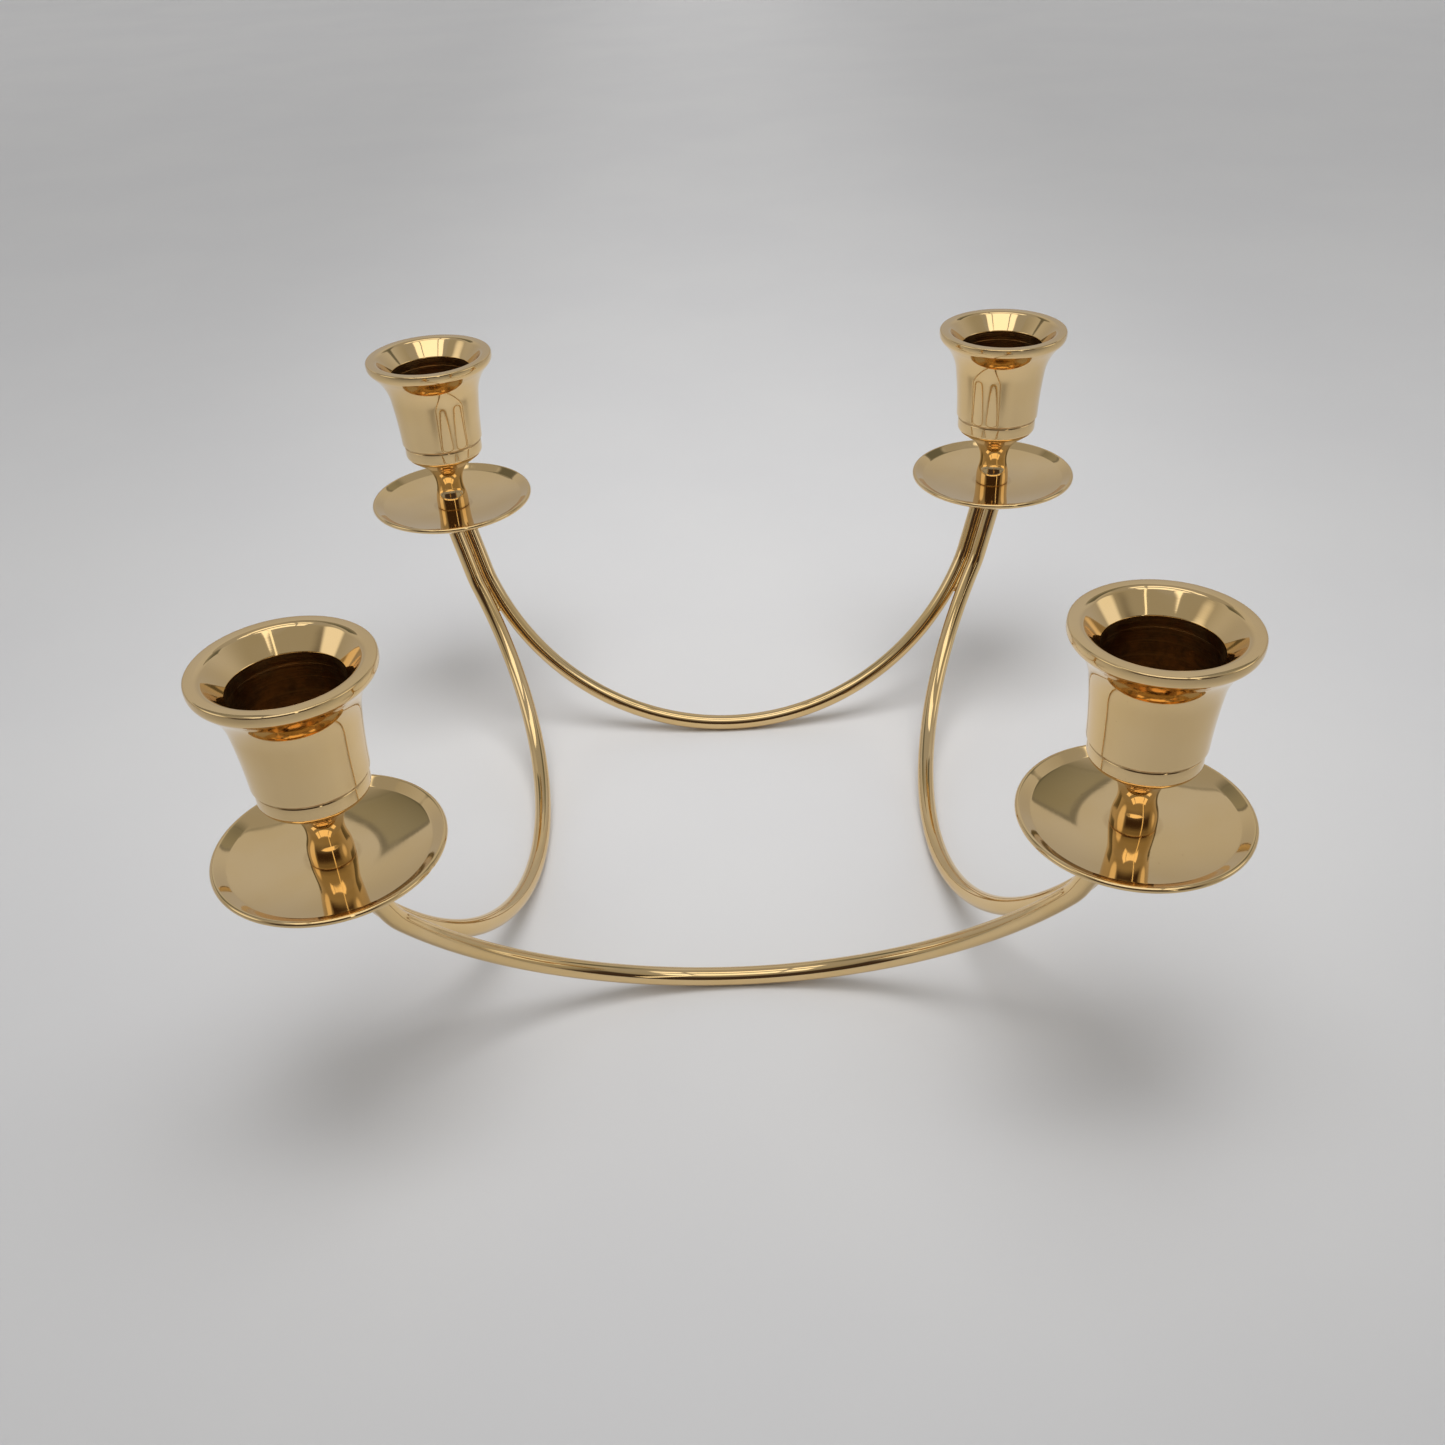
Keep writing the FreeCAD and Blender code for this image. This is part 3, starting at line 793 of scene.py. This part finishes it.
def make_floor():
    """A pale seamless floor."""
    mesh = bpy.data.meshes.new("floor")
    edges = ((-1, -1), (1, -1), (1, 1), (-1, 1))
    mesh.from_pydata([(x * FLOOR_HALF, y * FLOOR_HALF, 0) for x, y in edges], [], [(0, 1, 2, 3)])
    floor = bpy.data.objects.new("floor", mesh)
    bpy.context.scene.collection.objects.link(floor)
    material, nodes, shader = new_material("pale_paper")
    where = nodes.add("ShaderNodeTexCoord").outputs["Object"]
    grain = nodes.noise(where, 9.0, 4.0)
    paper = nodes.mix(nodes.ramp(grain, 0.3, 0.7), PAPER, PAPER_PALE)
    # the pool of light on the paper
    split = nodes.add("ShaderNodeSeparateXYZ", Vector=where)
    toward_front = nodes.ramp(split.outputs[1], -0.34, 0.10, 0.64, 0.98)
    to_side = nodes.ramp(nodes.math("ABSOLUTE", split.outputs[0]), 0.02, 0.30, 1.0, 0.84)
    far = nodes.ramp(split.outputs[1], 0.5, 1.8, 1.0, 1.14)
    pool = nodes.product(toward_front, to_side, far)
    lit = nodes.add("ShaderNodeVectorMath", {"operation": "SCALE"}, i0=paper, Scale=pool).outputs[0]
    nodes.put(shader.inputs["Base Color"], lit)
    shader.inputs["Metallic"].default_value = 0.0
    shader.inputs["Roughness"].default_value = 0.9
    shader.inputs["Specular IOR Level"].default_value = 0.2
    mesh.materials.append(material)


# The studio all round, by direction: x to the right, y to the back, z up.

TENT_LOW = (0.46, 0.46, 0.475, 1)
TENT_HIGH = (0.565, 0.57, 0.59, 1)
TENT_FRONT = (0.38, 0.37, 0.34, 1)
TENT_TOP = (0.40, 0.40, 0.405, 1)
SEAM_SHADE = (0.16, 0.16, 0.15, 1)
ROOM_FRONT = (0.055, 0.038, 0.030, 1)
ROOM_BACK_NEAR = (0.32, 0.32, 0.29, 1)
ROOM_BACK_FAR = (0.15, 0.155, 0.14, 1)
EDGE_SHADE = (0.10, 0.10, 0.09, 1)
SIDE_LIGHT_LEFT = (1.05, 1.03, 0.99, 1)
SIDE_LIGHT_RIGHT = (1.0, 0.99, 0.97, 1)
PANEL_LIGHT = (1.55, 1.52, 1.46, 1)
STRIP_LIGHT = (1.5, 1.45, 1.3, 1)
PANEL_JOINT = 0.28
PANEL_GAP = 0.19
STRIP_PLACE = 0.46


def tent(nodes, y, z):
    """The pale tent: darker low down and in front, with a seam near its top."""
    back = nodes.mix(nodes.ramp(z, 0.28, 0.62), TENT_LOW, TENT_HIGH)
    colour = nodes.mix(nodes.ramp(y, -0.2, 0.5), TENT_FRONT, back)
    above_seam = nodes.ramp(z, 0.785, 0.795)
    seam = nodes.product(nodes.ramp(z, 0.772, 0.780), nodes.fall(z, 0.785, 0.793),
                         nodes.ramp(y, 0.3, 0.4))
    colour = nodes.mix(above_seam, colour, TENT_TOP)
    return nodes.mix(nodes.math("MULTIPLY", seam, 0.6), colour, SEAM_SHADE)


def add_front_room(nodes, colour, side, y, z):
    """The unlit room past the tent's open front."""
    room = nodes.product(nodes.ramp(z, -0.06, 0.0), nodes.fall(z, 0.52, 0.68),
                         nodes.fall(side, 0.64, 0.80), nodes.fall(y, -0.30, -0.18))
    return nodes.mix(room, colour, ROOM_FRONT)


def add_back_room(nodes, colour, side, y, z):
    """The grey room past the backdrop's side edges, with a darker line along the edges."""
    spread = nodes.math("DIVIDE", side, nodes.math("MAXIMUM", y, 0.02))
    limits = nodes.product(nodes.ramp(y, 0.32, 0.38), nodes.fall(z, 0.74, 0.84))
    outer = nodes.product(nodes.ramp(spread, 0.445, 0.46), nodes.ramp(z, 0.560, 0.570), limits)
    inner = nodes.product(nodes.ramp(spread, 0.475, 0.50), nodes.ramp(z, 0.578, 0.592), limits)
    grey = nodes.mix(nodes.ramp(spread, 0.4, 1.1), ROOM_BACK_NEAR, ROOM_BACK_FAR)
    colour = nodes.mix(nodes.math("MULTIPLY", outer, 0.75), colour, EDGE_SHADE)
    return nodes.mix(inner, colour, grey)


def add_side_light(nodes, colour, toward, aim, light):
    """A round patch of light through a side of the tent."""
    close = nodes.add("ShaderNodeVectorMath", {"operation": "DOT_PRODUCT"}, i0=toward,
                      i1=tuple(Vector(aim).normalized())).outputs["Value"]
    return nodes.mix(nodes.ramp(close, 0.955, 0.984), colour, light)


def add_roof_panel(nodes, colour, x, y, z):
    """The roof panel, with a narrow joint towards each side and a wide gap across it, in front."""
    over_x = nodes.math("DIVIDE", x, nodes.math("MAXIMUM", z, 0.2))
    over_y = nodes.math("DIVIDE", y, nodes.math("MAXIMUM", z, 0.2))
    off_centre = nodes.math("ABSOLUTE", over_x)
    off_joint = nodes.math("ABSOLUTE", nodes.math("SUBTRACT", off_centre, PANEL_JOINT))
    off_gap = nodes.math("ABSOLUTE", nodes.math("ADD", over_y, PANEL_GAP))
    panel = nodes.product(nodes.fall(off_centre, 0.46, 0.50), nodes.ramp(over_y, -0.70, -0.64),
                          nodes.fall(over_y, 0.11, 0.14), nodes.ramp(off_joint, 0.012, 0.022),
                          nodes.ramp(off_gap, 0.08, 0.10), nodes.ramp(z, 0.3, 0.4))
    return nodes.mix(panel, colour, PANEL_LIGHT)


def add_strip_lamp(nodes, colour, x, y, z):
    """A narrow lamp standing in the unlit room."""
    ahead = nodes.math("MAXIMUM", nodes.math("MULTIPLY", y, -1.0), 0.05)
    off_strip = nodes.math("ABSOLUTE", nodes.math("SUBTRACT", nodes.math("DIVIDE", x, ahead), STRIP_PLACE))
    strip = nodes.product(nodes.fall(off_strip, 0.03, 0.05), nodes.ramp(z, 0.16, 0.20),
                          nodes.fall(z, 0.84, 0.88), nodes.fall(y, -0.2, -0.1))
    return nodes.mix(strip, colour, STRIP_LIGHT)


def make_world():
    """The tent with the rooms past it and the lights on it."""
    world = bpy.data.worlds.new("studio")
    world.use_nodes = True
    bpy.context.scene.world = world
    nodes = Nodes(world.node_tree)
    toward = nodes.add("ShaderNodeTexCoord").outputs["Generated"]
    x, y, z = nodes.add("ShaderNodeSeparateXYZ", Vector=toward).outputs
    side = nodes.math("ABSOLUTE", x)
    colour = tent(nodes, y, z)
    colour = add_front_room(nodes, colour, side, y, z)
    colour = add_back_room(nodes, colour, side, y, z)
    colour = add_side_light(nodes, colour, toward, (-0.86, -0.16, 0.50), SIDE_LIGHT_LEFT)
    colour = add_side_light(nodes, colour, toward, (0.90, -0.10, 0.34), SIDE_LIGHT_RIGHT)
    colour = add_roof_panel(nodes, colour, x, y, z)
    colour = add_strip_lamp(nodes, colour, x, y, z)
    background = nodes.add("ShaderNodeBackground", Color=colour, Strength=1.0)
    output = nodes.add("ShaderNodeOutputWorld")
    world.node_tree.links.new(background.outputs[0], output.inputs[0])


def make_lamp(name, place, size_x, size_y, power, colour, aim=(0, 0, 0)):
    """A soft box that lights the scene but isn't mirrored in the brass, where the panel stands for it."""
    lamp = bpy.data.lights.new(name, "AREA")
    lamp.shape = "RECTANGLE"
    lamp.size = size_x
    lamp.size_y = size_y
    lamp.energy = power
    lamp.color = colour
    box = bpy.data.objects.new(name, lamp)
    box.location = place
    box.rotation_euler = (Vector(aim) - Vector(place)).to_track_quat("-Z", "Y").to_euler()
    box.visible_glossy = False
    bpy.context.scene.collection.objects.link(box)


CAMERA_PLACE = (0.003216, -0.28729, 0.24067)
CAMERA_TURN = (0.960227, 0.042788, -0.012010)
FOCAL_LENGTH = 33.563


def make_camera():
    """The camera at the photograph's place."""
    lens = bpy.data.cameras.new("camera")
    lens.sensor_width = 36
    lens.lens = FOCAL_LENGTH
    lens.clip_start = 0.01
    lens.clip_end = 100
    camera = bpy.data.objects.new("camera", lens)
    camera.location = CAMERA_PLACE
    camera.rotation_euler = CAMERA_TURN
    bpy.context.scene.collection.objects.link(camera)
    bpy.context.scene.camera = camera


make_floor()
make_world()
make_lamp("soft_box", (0.03, -0.06, 0.72), 0.50, 0.34, 1.9, (1.0, 0.995, 0.99))
make_camera()
bpy.context.scene.view_settings.view_transform = "Standard"
